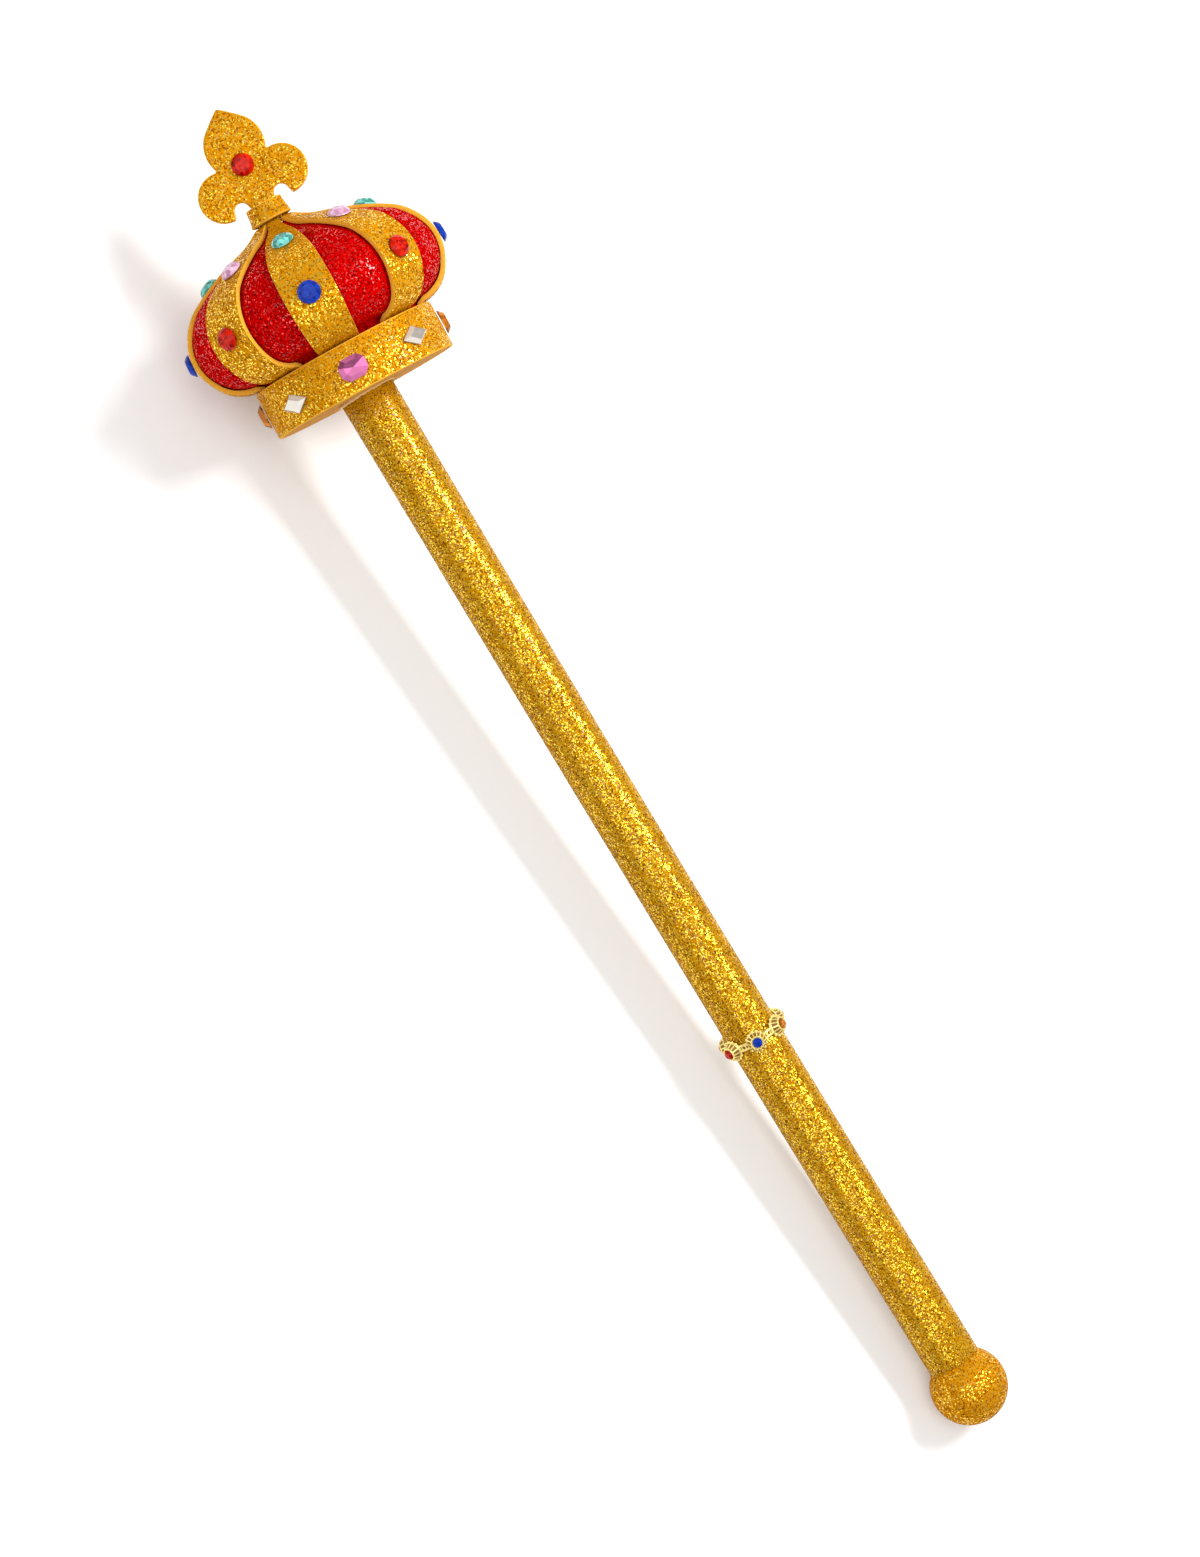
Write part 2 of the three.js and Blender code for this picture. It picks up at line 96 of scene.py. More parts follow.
def pick(piece, wanted, kind="verts"):
    """Selects the points, edges or faces of the piece being edited that wanted() accepts."""
    bpy.ops.mesh.select_all(action="DESELECT")
    mesh = bmesh.from_edit_mesh(piece.data)
    for item in getattr(mesh, kind):
        if wanted(item):
            item.select_set(True)
    mesh.select_flush_mode()
    bmesh.update_edit_mesh(piece.data)


def stop_editing():
    bpy.ops.object.mode_set(mode="OBJECT")


def name_piece(name):
    piece = bpy.context.object
    piece.name = piece.data.name = name
    return piece


def apply_modifier(piece, kind, **settings):
    clear_selection()
    piece.select_set(True)
    bpy.context.view_layer.objects.active = piece
    modifier = piece.modifiers.new(kind.lower(), kind)
    for key, value in settings.items():
        setattr(modifier, key, value)
    bpy.ops.object.modifier_apply(modifier=modifier.name)


def lay_down(piece, where):
    """Carries a piece modelled upright to its place, and leaves its object at the origin."""
    clear_selection()
    piece.select_set(True)
    bpy.context.view_layer.objects.active = piece
    piece.matrix_world = where
    bpy.ops.object.transform_apply(location=True, rotation=True, scale=True)


def smooth_shading(piece, angle=None):
    clear_selection()
    piece.select_set(True)
    bpy.context.view_layer.objects.active = piece
    if angle is None:
        bpy.ops.object.shade_smooth()
    else:
        bpy.ops.object.shade_smooth_by_angle(angle=math.radians(angle))


def fit_out(piece, material_slot, *nodes):
    """The piece rides on the sceptre and stands for its solids; material_slot is not used."""
    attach(piece, "root")
    if nodes:
        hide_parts(*nodes)


def linear(r, g, b):
    """A colour given as it shows on a screen."""
    def one(c):
        c /= 255
        return c / 12.92 if c <= 0.04045 else ((c + 0.055) / 1.055) ** 2.4
    return (one(r), one(g), one(b), 1)


def new_group(name, inputs, outputs):
    group = bpy.data.node_groups.new(name, "ShaderNodeTree")
    for label, kind, value in inputs:
        socket = group.interface.new_socket(name=label, in_out="INPUT", socket_type="NodeSocket" + kind)
        socket.default_value = value
    for label, kind in outputs:
        group.interface.new_socket(name=label, in_out="OUTPUT", socket_type="NodeSocket" + kind)
    return group, group.nodes.new("NodeGroupInput"), group.nodes.new("NodeGroupOutput")


def maths(tree, operation, a, b=None, c=None):
    node = tree.nodes.new("ShaderNodeMath")
    node.operation = operation
    for socket, value in zip(node.inputs, (a, b, c)):
        if value is None:
            continue
        if isinstance(value, (int, float)):
            socket.default_value = value
        else:
            tree.links.new(value, socket)
    return node.outputs[0]


def vector_maths(tree, operation, a, b=None, scale=None):
    node = tree.nodes.new("ShaderNodeVectorMath")
    node.operation = operation
    for socket, value in zip(node.inputs, (a, b)):
        if value is None:
            continue
        if isinstance(value, tuple):
            socket.default_value = value
        else:
            tree.links.new(value, socket)
    if scale is not None:
        if isinstance(scale, (int, float)):
            node.inputs["Scale"].default_value = scale
        else:
            tree.links.new(scale, node.inputs["Scale"])
    return node.outputs["Vector"]


def mixed(tree, amount, a, b, blend="MIX"):
    node = tree.nodes.new("ShaderNodeMix")
    node.data_type, node.blend_type = "RGBA", blend
    for socket, value in zip((node.inputs[0], node.inputs[6], node.inputs[7]), (amount, a, b)):
        if isinstance(value, (int, float, tuple)):
            socket.default_value = value
        else:
            tree.links.new(value, socket)
    return node.outputs[2]


# Glitter: flakes about half a millimetre across, glued down at all angles. A share of them
# are bright foil, and a share is painted dark, as painted shade for flakes that catch no light.
glitter, entry, leaving = new_group(
    "glitter flakes",
    [("Flake Size mm", "Float", 0.6), ("Tilt", "Float", 0.5), ("Dark", "Color", (0.1, 0.05, 0, 1)),
     ("Middle", "Color", (0.5, 0.3, 0.05, 1)), ("Bright", "Color", (1, 0.8, 0.3, 1)),
     ("Dark Share", "Float", 0.25), ("Bright Share", "Float", 0.25), ("Foil", "Float", 0.3),
     ("Gloss", "Float", 0.3)],
    [("Color", "Color"), ("Metallic", "Float"), ("Roughness", "Float"), ("Gloss", "Float"), ("Normal", "Vector")])
place = glitter.nodes.new("ShaderNodeTexCoord")
flakes = glitter.nodes.new("ShaderNodeTexVoronoi")
glitter.links.new(place.outputs["Object"], flakes.inputs["Vector"])
glitter.links.new(maths(glitter, "DIVIDE", 1000, entry.outputs["Flake Size mm"]), flakes.inputs["Scale"])
draw = glitter.nodes.new("ShaderNodeSeparateColor")
glitter.links.new(flakes.outputs["Color"], draw.inputs["Color"])
lot = draw.outputs["Red"]
# the flakes with the lowest draws take the Dark colour: painted shade of flakes turned away from the light
dark = maths(glitter, "LESS_THAN", lot, entry.outputs["Dark Share"])
bright = maths(glitter, "GREATER_THAN", lot, maths(glitter, "SUBTRACT", 1, entry.outputs["Bright Share"]))
tone = mixed(glitter, dark, entry.outputs["Middle"], entry.outputs["Dark"])
tone = mixed(glitter, bright, tone, entry.outputs["Bright"])
drift = glitter.nodes.new("ShaderNodeTexNoise")
drift.inputs["Scale"].default_value = 130
drift.inputs["Detail"].default_value = 3
glitter.links.new(place.outputs["Object"], drift.inputs["Vector"])
shade = glitter.nodes.new("ShaderNodeHueSaturation")
glitter.links.new(tone, shade.inputs["Color"])
value = maths(glitter, "MULTIPLY_ADD", draw.outputs["Green"], 0.45, 0.62)
glitter.links.new(maths(glitter, "ADD", value, maths(glitter, "MULTIPLY", drift.outputs["Fac"], 0.3)), shade.inputs["Value"])
glitter.links.new(shade.outputs["Color"], leaving.inputs["Color"])
matt = maths(glitter, "MULTIPLY", maths(glitter, "SUBTRACT", 1, dark), entry.outputs["Foil"])
glitter.links.new(maths(glitter, "MAXIMUM", maths(glitter, "MULTIPLY", bright, 0.95), matt), leaving.inputs["Metallic"])
glitter.links.new(maths(glitter, "MULTIPLY_ADD", bright, -0.25, 0.52), leaving.inputs["Roughness"])
glitter.links.new(maths(glitter, "LESS_THAN", draw.outputs["Blue"], entry.outputs["Gloss"]), leaving.inputs["Gloss"])
surface = glitter.nodes.new("ShaderNodeNewGeometry")
lean = vector_maths(glitter, "SUBTRACT", flakes.outputs["Color"], (0.5, 0.5, 0.5))
lean = vector_maths(glitter, "SCALE", lean, scale=entry.outputs["Tilt"])
tilted = vector_maths(glitter, "NORMALIZE", vector_maths(glitter, "ADD", surface.outputs["Normal"], lean))
glitter.links.new(tilted, leaving.inputs["Normal"])


def glitter_material(name, size, tilt, dark, middle, bright, dark_share, bright_share, foil, gloss):
    material = bpy.data.materials.new(name)
    material.use_nodes = True
    tree = material.node_tree
    shader = tree.nodes["Principled BSDF"]
    flakes = tree.nodes.new("ShaderNodeGroup")
    flakes.node_tree = glitter
    for label, value in (("Flake Size mm", size), ("Tilt", tilt), ("Dark", dark), ("Middle", middle), ("Bright", bright),
                         ("Dark Share", dark_share), ("Bright Share", bright_share), ("Foil", foil),
                         ("Gloss", gloss)):
        flakes.inputs[label].default_value = value
    for socket, name in (("Base Color", "Color"), ("Metallic", "Metallic"), ("Roughness", "Roughness"),
                         ("Coat Weight", "Gloss"), ("Normal", "Normal")):
        tree.links.new(flakes.outputs[name], shader.inputs[socket])
    shader.inputs["Specular IOR Level"].default_value = 0
    shader.inputs["Coat Roughness"].default_value = 0.24
    return material


shaft_wrap = glitter_material("shaft wrap", 0.42, 0.26, linear(100, 58, 0), linear(172, 118, 2),
                              linear(226, 190, 56), 0.22, 0.2, 0.15, 0.18)

bpy.ops.mesh.primitive_cylinder_add(vertices=96, radius=SHAFT_R, depth=shaft_length,
                                    location=(0, 0, SHAFT_TOP - shaft_length / 2))
shaft = name_piece("shaft_tube")
clear_selection()
shaft.select_set(True)
bpy.ops.object.transform_apply(location=True, rotation=True, scale=True)
start_editing(shaft, "EDGE")
pick(shaft, lambda e: abs(e.verts[0].co.z - e.verts[1].co.z) > 0.1, "edges")
bpy.ops.mesh.subdivide(number_cuts=23)
bpy.ops.mesh.select_mode(type="VERT")
pick(shaft, lambda v: 0 <= math.degrees(math.atan2(-v.co.x, v.co.y)) < LAP_ANGLE)
bpy.ops.transform.resize(value=(1 + LAP / SHAFT_R, 1 + LAP / SHAFT_R, 1), center_override=(0, 0, 0))
for step in range(25):
    height = SHAFT_TOP - shaft_length * step / 24
    share = step / 24
    pick(shaft, lambda v: abs(v.co.z - height) < 1e-4)
    growth = 1 + SHAFT_FLARE / SHAFT_R * (1 - share) ** 3
    bpy.ops.transform.resize(value=(growth, growth, 1), center_override=(0, 0, height))
    bpy.ops.transform.translate(value=(-SHAFT_BOW * 4 * share * (1 - share), 0, 0))
stop_editing()
apply_modifier(shaft, "BEVEL", width=0.4 * MM, segments=3, limit_method="ANGLE")
smooth_shading(shaft, 50)
lay_down(shaft, staff)
shaft.data.materials.append(shaft_wrap)
fit_out(shaft, "shaft_wrap", "shaft")

# ------------------------------------------------------------------ the ball
# A foam ball rolled in glue and glitter, pressed and glued onto the end of the tube. It is
# a little flat where it rests on the floor.
BALL_R = 15.8 * MM
BALL_DROP = 464.8 * MM  # from the crown's foot down to its centre
REST_SPOT_DEPTH = 0.3 * MM

ball_glitter = glitter_material("ball glitter", 0.45, 0.45, linear(126, 72, 2), linear(184, 120, 6),
                                linear(240, 196, 70), 0.22, 0.16, 0.12, 0.03)
bpy.ops.mesh.primitive_ico_sphere_add(subdivisions=6, radius=BALL_R, location=(0, 0, 0))
ball = name_piece("ball_pommel")
start_editing(ball)
down = staff.to_3x3().transposed() @ Vector((0, 0, -1))
bpy.ops.mesh.select_all(action="SELECT")
bpy.ops.mesh.bisect(plane_co=down * (BALL_R - REST_SPOT_DEPTH), plane_no=down, use_fill=True, clear_outer=True)
stop_editing()
smooth_shading(ball, 20)
lay_down(ball, staff @ Matrix.Translation((0, 0, -BALL_DROP)))
ball.data.materials.append(ball_glitter)
fit_out(ball, "ball_glitter", "pommel_ball")

# ------------------------------------------------------------------ the trim
# A short length of gilt plastic trim glued round the shaft, lower in front: six domed
# flower settings on two thin bars, each with a small stone. The slope between their ribs,
# pierced on the real trim, is painted dark here as painted shade.
TRIM_Z = -297.5 * MM
TRIM_TILT = math.radians(7)
TRIM_TURNS = (-1, 56, 113, 170, 245, 302)  # degrees; its two ends meet behind
RIBS = 14
RIM_R = 4.1 * MM
BEZEL_R = 2.3 * MM
SETTING_SIDES = 56
STONE_FLOOR = 2.7 * MM

trim_place = staff @ Matrix.Translation((-SHAFT_BOW * 4 * 0.64 * 0.36, 0, TRIM_Z)) @ Matrix.Rotation(TRIM_TILT, 4, "X")

gilt = bpy.data.materials.new("gilt trim")
gilt.use_nodes = True
tree = gilt.node_tree
gilt_shader = tree.nodes["Principled BSDF"]
gilt_place = tree.nodes.new("ShaderNodeTexCoord")
wear = tree.nodes.new("ShaderNodeTexNoise")
wear.inputs["Scale"].default_value = 1200
wear.inputs["Detail"].default_value = 2
tree.links.new(gilt_place.outputs["Object"], wear.inputs["Vector"])
tree.links.new(mixed(tree, wear.outputs["Fac"], linear(226, 190, 74), linear(255, 244, 168)), gilt_shader.inputs["Base Color"])
tree.links.new(maths(tree, "MULTIPLY_ADD", wear.outputs["Fac"], 0.25, 0.15), gilt_shader.inputs["Roughness"])
gilt_bump = tree.nodes.new("ShaderNodeBump")
gilt_bump.inputs["Strength"].default_value = 0.5
gilt_bump.inputs["Distance"].default_value = 0.08 * MM
tree.links.new(wear.outputs["Fac"], gilt_bump.inputs["Height"])
tree.links.new(gilt_bump.outputs["Normal"], gilt_shader.inputs["Normal"])
gilt_shader.inputs["Metallic"].default_value = 0.6

# dark gilt for the slope between the ribs: painted shade where the real settings are pierced
gilt_painted_shade = bpy.data.materials.new("painted shade between the ribs")
gilt_painted_shade.use_nodes = True
tree = gilt_painted_shade.node_tree
painted_shade_shader = tree.nodes["Principled BSDF"]
painted_shade_place = tree.nodes.new("ShaderNodeTexCoord")
painted_shade_noise = tree.nodes.new("ShaderNodeTexNoise")
painted_shade_noise.inputs["Scale"].default_value = 900
tree.links.new(painted_shade_place.outputs["Object"], painted_shade_noise.inputs["Vector"])
tree.links.new(mixed(tree, painted_shade_noise.outputs["Fac"], linear(84, 50, 4), linear(150, 104, 16)), painted_shade_shader.inputs["Base Color"])
painted_shade_shader.inputs["Roughness"].default_value = 0.6

# the setting faces +Z here, with the shaft's surface at z = 0
bpy.ops.mesh.primitive_circle_add(vertices=SETTING_SIDES, radius=BEZEL_R, fill_type="NGON", location=(0, 0, STONE_FLOOR))
setting = name_piece("trim_gilt")
clear_selection()
setting.select_set(True)
bpy.ops.object.transform_apply(location=True, rotation=True, scale=True)
setting.data.materials.append(gilt)
setting.data.materials.append(gilt_painted_shade)
start_editing(setting, "EDGE")
bpy.ops.mesh.select_all(action="SELECT")
bpy.ops.mesh.region_to_loop()
was_r, was_z = BEZEL_R / MM, STONE_FLOOR / MM
for r, z in ((2.3, 3.35), (2.42, 3.5), (2.6, 3.5), (2.75, 3.35), (2.8, 2.9), (3.3, 2.0), (3.75, 1.1), (4.0, 0.6), (4.15, 0.4), (4.1, 0.12), (3.7, 0.08)):
    bpy.ops.mesh.extrude_region_move(TRANSFORM_OT_translate={"value": (0, 0, (z - was_z) * MM)})
    bpy.ops.transform.resize(value=(r / was_r, r / was_r, 1), center_override=(0, 0, z * MM))
    was_r, was_z = r, z
bpy.ops.mesh.select_all(action="SELECT")
bpy.ops.mesh.normals_make_consistent(inside=False)
# the slope between the ribs takes the dark gilt, as painted shade
pick(setting, lambda f: 2.85 * MM < f.calc_center_median().xy.length < 3.85 * MM, "faces")
setting.active_material_index = 1
bpy.ops.object.material_slot_assign()
# ribs from the bezel down to the rim, and a bead at the foot of each
bpy.ops.mesh.select_mode(type="VERT")
for rib in range(RIBS):
    angle = 2 * math.pi * (rib + 0.5) / RIBS
    x, y = math.cos(angle), math.sin(angle)
    bpy.ops.mesh.select_all(action="DESELECT")
    bpy.ops.mesh.primitive_cube_add(size=1, location=(3.35 * MM * x, 3.35 * MM * y, 2.05 * MM),
                                    rotation=(0, math.atan2(2.2, 1.25), angle), scale=(2.5 * MM, 0.5 * MM, 0.5 * MM))
    setting.active_material_index = 0
    bpy.ops.object.material_slot_assign()
    bpy.ops.mesh.select_all(action="DESELECT")
    bpy.ops.mesh.primitive_ico_sphere_add(subdivisions=2, radius=0.62 * MM,
                                          location=(RIM_R * x, RIM_R * y, 0.62 * MM))
    bpy.ops.object.material_slot_assign()
# the skirt follows the round of the shaft
columns = sorted({round(v.co.x, 6) for v in bmesh.from_edit_mesh(setting.data).verts})
for x in columns:
    pick(setting, lambda v: round(v.co.x, 6) == x and v.co.z < 2.4 * MM)
    bpy.ops.transform.translate(value=(0, 0, -x * x / (2.6 * SHAFT_R)))
stop_editing()
smooth_shading(setting, 35)

settings = []
for number, turn in enumerate(TRIM_TURNS, 1):
    copy = setting.copy()
    copy.data = setting.data.copy()
    bpy.context.collection.objects.link(copy)
    lay_down(copy, trim_place @ Matrix.Rotation(math.radians(turn), 4, "Z")
             @ Matrix.Translation((0, -SHAFT_R - GAP, 0)) @ Matrix.Rotation(math.pi / 2, 4, "X"))
    settings.append(copy)
bpy.data.objects.remove(setting)

# the two bars, and a small eye in the middle of each link
for side in (-1, 1):
    bpy.ops.mesh.primitive_torus_add(major_segments=96, minor_segments=8, major_radius=SHAFT_R + GAP + 0.45 * MM,
                                     minor_radius=0.42 * MM, location=(0, 0, side * 1.1 * MM))
    bar = bpy.context.object
    bpy.ops.object.transform_apply(location=True, rotation=True, scale=True)
    start_editing(bar)
    for column in range(0, 96, 2):
        angle = 2 * math.pi * column / 96
        pick(bar, lambda v: abs(math.remainder(math.atan2(v.co.y, v.co.x) - angle, 2 * math.pi)) < 0.01)
        bpy.ops.transform.resize(value=(1, 1, 1.25), center_override=(0, 0, side * 1.1 * MM))
    stop_editing()
    bar.data.materials.append(gilt)
    smooth_shading(bar)
    lay_down(bar, trim_place)
    settings.append(bar)
for before, after in zip(TRIM_TURNS, TRIM_TURNS[1:] + (TRIM_TURNS[0] + 360,)):
    middle = math.radians((before + after) / 2)
    bpy.ops.mesh.primitive_torus_add(major_segments=20, minor_segments=6, major_radius=0.95 * MM,
                                     minor_radius=0.34 * MM, location=(0, 0, 0))
    eye = bpy.context.object
    eye.data.materials.append(gilt)
    smooth_shading(eye)
    lay_down(eye, trim_place @ Matrix.Rotation(middle, 4, "Z") @ Matrix.Translation((0, -SHAFT_R - GAP - 0.55 * MM, 0))
             @ Matrix.Rotation(math.pi / 2, 4, "X"))
    settings.append(eye)
clear_selection()
for piece in settings:
    piece.select_set(True)
bpy.context.view_layer.objects.active = settings[0]
bpy.ops.object.join()
trim = name_piece("trim_gilt")
fit_out(trim, "gilt_metal", "trim_ring")

# ------------------------------------------------------------------ the trim's stones
# Small round acrylic stones pressed into the settings: blue, amber and red in turn.
def acrylic(name, dark, bright, centre=None, roughness=0.07, metallic=0.0):
    """Foil-backed acrylic: each facet has its own shade. The centre argument is not used."""
    material = bpy.data.materials.new(name)
    material.use_nodes = True
    tree = material.node_tree
    shader = tree.nodes["Principled BSDF"]
    facet = tree.nodes.new("ShaderNodeAttribute")
    facet.attribute_name = "facet"
    haze_place = tree.nodes.new("ShaderNodeTexCoord")
    haze = tree.nodes.new("ShaderNodeTexNoise")
    haze.inputs["Scale"].default_value = 500
    tree.links.new(haze_place.outputs["Object"], haze.inputs["Vector"])
    # the facet value mixes the dark and bright colours: painted reflection, the light off the foil inside the stone
    shade = maths(tree, "ADD", facet.outputs["Fac"], maths(tree, "MULTIPLY_ADD", haze.outputs["Fac"], 0.3, -0.15))
    tree.links.new(mixed(tree, shade, dark, bright), shader.inputs["Base Color"])
    shader.inputs["Roughness"].default_value = roughness
    shader.inputs["Metallic"].default_value = metallic
    shader.inputs["Specular IOR Level"].default_value = 0.13
    return material


def paint_facet_light(piece, seed, lit_or_shaded_facets=()):
    """Paints each facet a shade that stands for the light its foil reflects: at random, but a given painted light or
    shade for the facets listed by where they lie.
    """
    draw = random.Random(seed)
    attribute = piece.data.attributes.new("facet", "FLOAT", "FACE")
    for face in piece.data.polygons:
        value = draw.random()
        for test, shade in lit_or_shaded_facets:
            if test(face.center, face.normal):
                value = shade
        attribute.data[face.index].value = value


def round_stone(name, radius, height, edge, table, sides, material, seed, lit_or_shaded_facets=()):
    """A flat-backed round stone facing +Z: two rows of facets and a small star on its table."""
    bpy.ops.mesh.primitive_circle_add(vertices=sides, radius=radius, fill_type="NOTHING")
    stone = name_piece(name)
    start_editing(stone)
    half_turn = math.pi / sides
    rise = height - edge
    for r, z, turn in ((radius, edge, 0), (radius * (1 + table) * 0.53, edge + rise * 0.5, half_turn), (radius * table, height, 0)):
        bpy.ops.mesh.primitive_circle_add(vertices=sides, radius=r, fill_type="NOTHING", location=(0, 0, z), rotation=(0, 0, turn))
    bpy.ops.mesh.select_all(action="SELECT")
    bpy.ops.mesh.convex_hull()
    pick(stone, lambda f: f.normal.z > 0.99, "faces")
    bpy.ops.mesh.dissolve_faces()
    bpy.ops.mesh.inset(thickness=radius * table * 0.35)
    bpy.ops.mesh.poke(offset=-0.02 * MM)
    stop_editing()
    stone.data.materials.append(material)
    paint_facet_light(stone, seed, lit_or_shaded_facets)
    return stone


sapphire = acrylic("sapphire acrylic", linear(4, 30, 116), linear(20, 56, 164))
topaz = acrylic("topaz acrylic", linear(92, 44, 4), linear(204, 124, 30))
ruby = acrylic("ruby acrylic", linear(112, 0, 0), linear(204, 30, 8))
TRIM_STONE_R = 2.05 * MM
for number, turn in enumerate(TRIM_TURNS, 1):
    material, finish = ((sapphire, "sapphire"), (topaz, "topaz"), (ruby, "ruby"))[(number - 1) % 3]
    stone = round_stone(f"trim_acrylic_{number}", TRIM_STONE_R, 1.4 * MM, 0.5 * MM, 0.7, 10, material, 40 + number)
    lay_down(stone, trim_place @ Matrix.Rotation(math.radians(turn), 4, "Z")
             @ Matrix.Translation((0, -SHAFT_R - STONE_FLOOR - 2 * GAP, 0)) @ Matrix.Rotation(math.pi / 2, 4, "X"))
    fit_out(stone, finish, f"trim_stone_{number}")

# ------------------------------------------------------------------ the headband
# A strip of 2 mm gold glitter foam, bent into a ring round the edge of a foam disc and
# glued. Its cut edges are bare foam without glitter. The whole head leans a little.
BAND_R = 39 * MM
BAND_BOTTOM = 0.9 * MM
BAND_TOP = 20.4 * MM
FOAM = 2 * MM

low = middle_of([p for n in (1, 3, 5, 7) for p in corners_of(f"band_stone_{n}")])
high = middle_of([p for n in (1, 3, 5, 7) for p in corners_of(f"shoulder_stone_{n}")])
head_up = (high - low).normalized()
head = axes(head_up.cross(front), -front, head_up, staff.translation)

gold_foam = glitter_material("gold glitter foam", 0.5, 0.5, linear(134, 78, 2), linear(190, 125, 6),
                             linear(244, 208, 76), 0.2, 0.18, 0.1, 0.04)


def foam_material(name, dark, bright):
    """Cut foam without glitter: fine pores, a little darker and lighter."""
    material = bpy.data.materials.new(name)
    material.use_nodes = True
    tree = material.node_tree
    shader = tree.nodes["Principled BSDF"]
    place = tree.nodes.new("ShaderNodeTexCoord")
    pores = tree.nodes.new("ShaderNodeTexNoise")
    pores.inputs["Scale"].default_value = 900
    pores.inputs["Detail"].default_value = 3
    tree.links.new(place.outputs["Object"], pores.inputs["Vector"])
    tree.links.new(mixed(tree, pores.outputs["Fac"], dark, bright), shader.inputs["Base Color"])
    bump = tree.nodes.new("ShaderNodeBump")
    bump.inputs["Strength"].default_value = 0.4
    bump.inputs["Distance"].default_value = 0.15 * MM
    tree.links.new(pores.outputs["Fac"], bump.inputs["Height"])
    tree.links.new(bump.outputs["Normal"], shader.inputs["Normal"])
    shader.inputs["Roughness"].default_value = 0.85
    shader.inputs["Specular IOR Level"].default_value = 0.1
    return material


foam_edge = foam_material("cut foam edge", linear(196, 132, 22), linear(232, 176, 62))

bpy.ops.mesh.primitive_cylinder_add(vertices=144, radius=BAND_R, depth=BAND_TOP - BAND_BOTTOM,
                                    end_fill_type="NOTHING", location=(0, 0, (BAND_TOP + BAND_BOTTOM) / 2))
band = name_piece("headband_foam")
clear_selection()
band.select_set(True)
bpy.ops.object.transform_apply(location=True, rotation=True, scale=True)
band.data.materials.append(gold_foam)
band.data.materials.append(foam_edge)
apply_modifier(band, "SOLIDIFY", thickness=FOAM, offset=-1, material_offset_rim=1)
apply_modifier(band, "BEVEL", width=0.45 * MM, segments=3, limit_method="ANGLE", material=1)
smooth_shading(band, 40)
lay_down(band, head)
fit_out(band, "gold_foam", "headband")


# ------------------------------------------------------------------ the foam disc
# The foam disc that closes the crown underneath, with a round hole for the tube. Its bare
# side is turned down, and a bead of hot glue holds the tube in it.
DISC_R = BAND_R - FOAM - GAP
HOLE_R = 11.7 * MM

bare_foam = foam_material("bare foam", linear(172, 112, 34), linear(206, 150, 62))

bpy.ops.mesh.primitive_circle_add(vertices=96, radius=HOLE_R, fill_type="NOTHING", location=(0, 0, BAND_BOTTOM))
disc = name_piece("crown_disc_foam")
clear_selection()
disc.select_set(True)
bpy.ops.object.transform_apply(location=True, rotation=True, scale=True)
start_editing(disc)
bpy.ops.mesh.select_all(action="SELECT")
for _ in range(4):
    bpy.ops.mesh.extrude_region_move()
    growth = (DISC_R / HOLE_R) ** 0.25
    bpy.ops.transform.resize(value=(growth, growth, 1), center_override=(0, 0, BAND_BOTTOM))
bpy.ops.mesh.select_all(action="SELECT")
bpy.ops.mesh.normals_make_consistent(inside=False)
stop_editing()
if disc.data.polygons[0].normal.z > 0:
    start_editing(disc)
    bpy.ops.mesh.select_all(action="SELECT")
    bpy.ops.mesh.flip_normals()
    stop_editing()
disc.data.materials.append(bare_foam)
apply_modifier(disc, "SOLIDIFY", thickness=FOAM, offset=-1)
apply_modifier(disc, "BEVEL", width=0.3 * MM, segments=2, limit_method="ANGLE")
smooth_shading(disc, 40)
lay_down(disc, head)
fit_out(disc, "gold_foam", "crown_base")

# the bead of glue, squeezed out a little unevenly
glue = foam_material("hot glue", linear(196, 150, 96), linear(226, 190, 140))
glue.node_tree.nodes["Principled BSDF"].inputs["Roughness"].default_value = 0.25
bpy.ops.mesh.primitive_torus_add(major_segments=72, minor_segments=10, major_radius=SHAFT_R + SHAFT_FLARE + 0.5 * MM,
                                 minor_radius=0.55 * MM, location=(0, 0, BAND_BOTTOM - 0.1 * MM))
bead = name_piece("disc_glue")
bpy.ops.object.transform_apply(location=True, rotation=True, scale=True)
bead_random = random.Random(7)
start_editing(bead)
for column in range(72):
    angle = 2 * math.pi * column / 72
    pick(bead, lambda v: abs(math.remainder(math.atan2(v.co.y, v.co.x) - angle, 2 * math.pi)) < 0.01)
    bpy.ops.transform.resize(value=(1, 1, bead_random.uniform(0.7, 1.5)), center_override=(0, 0, BAND_BOTTOM))
stop_editing()
smooth_shading(bead)
bead.data.materials.append(glue)
lay_down(bead, staff)
fit_out(bead, "gold_foam")

# ------------------------------------------------------------------ the strips
# Eight strips of 2 mm gold glitter foam, cut like a bottle, bent over the dome and glued
# under the collar at the top and inside the headband at the foot.
STRIP_TURNS = (-0.9, 43.4, 90, 135, 180, 225, 270, 317.6)  # degrees from the front, to the right
STRIP_WIDTHS = (1, 0.9, 1, 1, 1, 1, 1, 0.96)  # cut by hand, over the path's width
STRIP_PATH = (  # radius, height and width of the outer face, mm
    (7.4, 77.2, 4.8), (9.6, 76.0, 5.4), (12.6, 74.1, 6.5), (17.2, 72.1, 8.7), (24.5, 69.8, 12.0),
    (34.5, 65.6, 15.7), (41.7, 61.9, 18.0), (47.2, 58.0, 19.5), (51.6, 52.4, 20.4), (54.2, 46.4, 20.8),
    (54.8, 40.2, 20.7), (53.6, 34.4, 20.3), (50.6, 28.6, 19.4), (46.8, 24.6, 18.8), (41.4, 21.9, 18.2),
    (37.6, 21.2, 17.8), (35.4, 20.0, 17.6), (34.9, 17.0, 17.6), (34.9, 10.0, 17.6), (34.9, 3.8, 17.6))


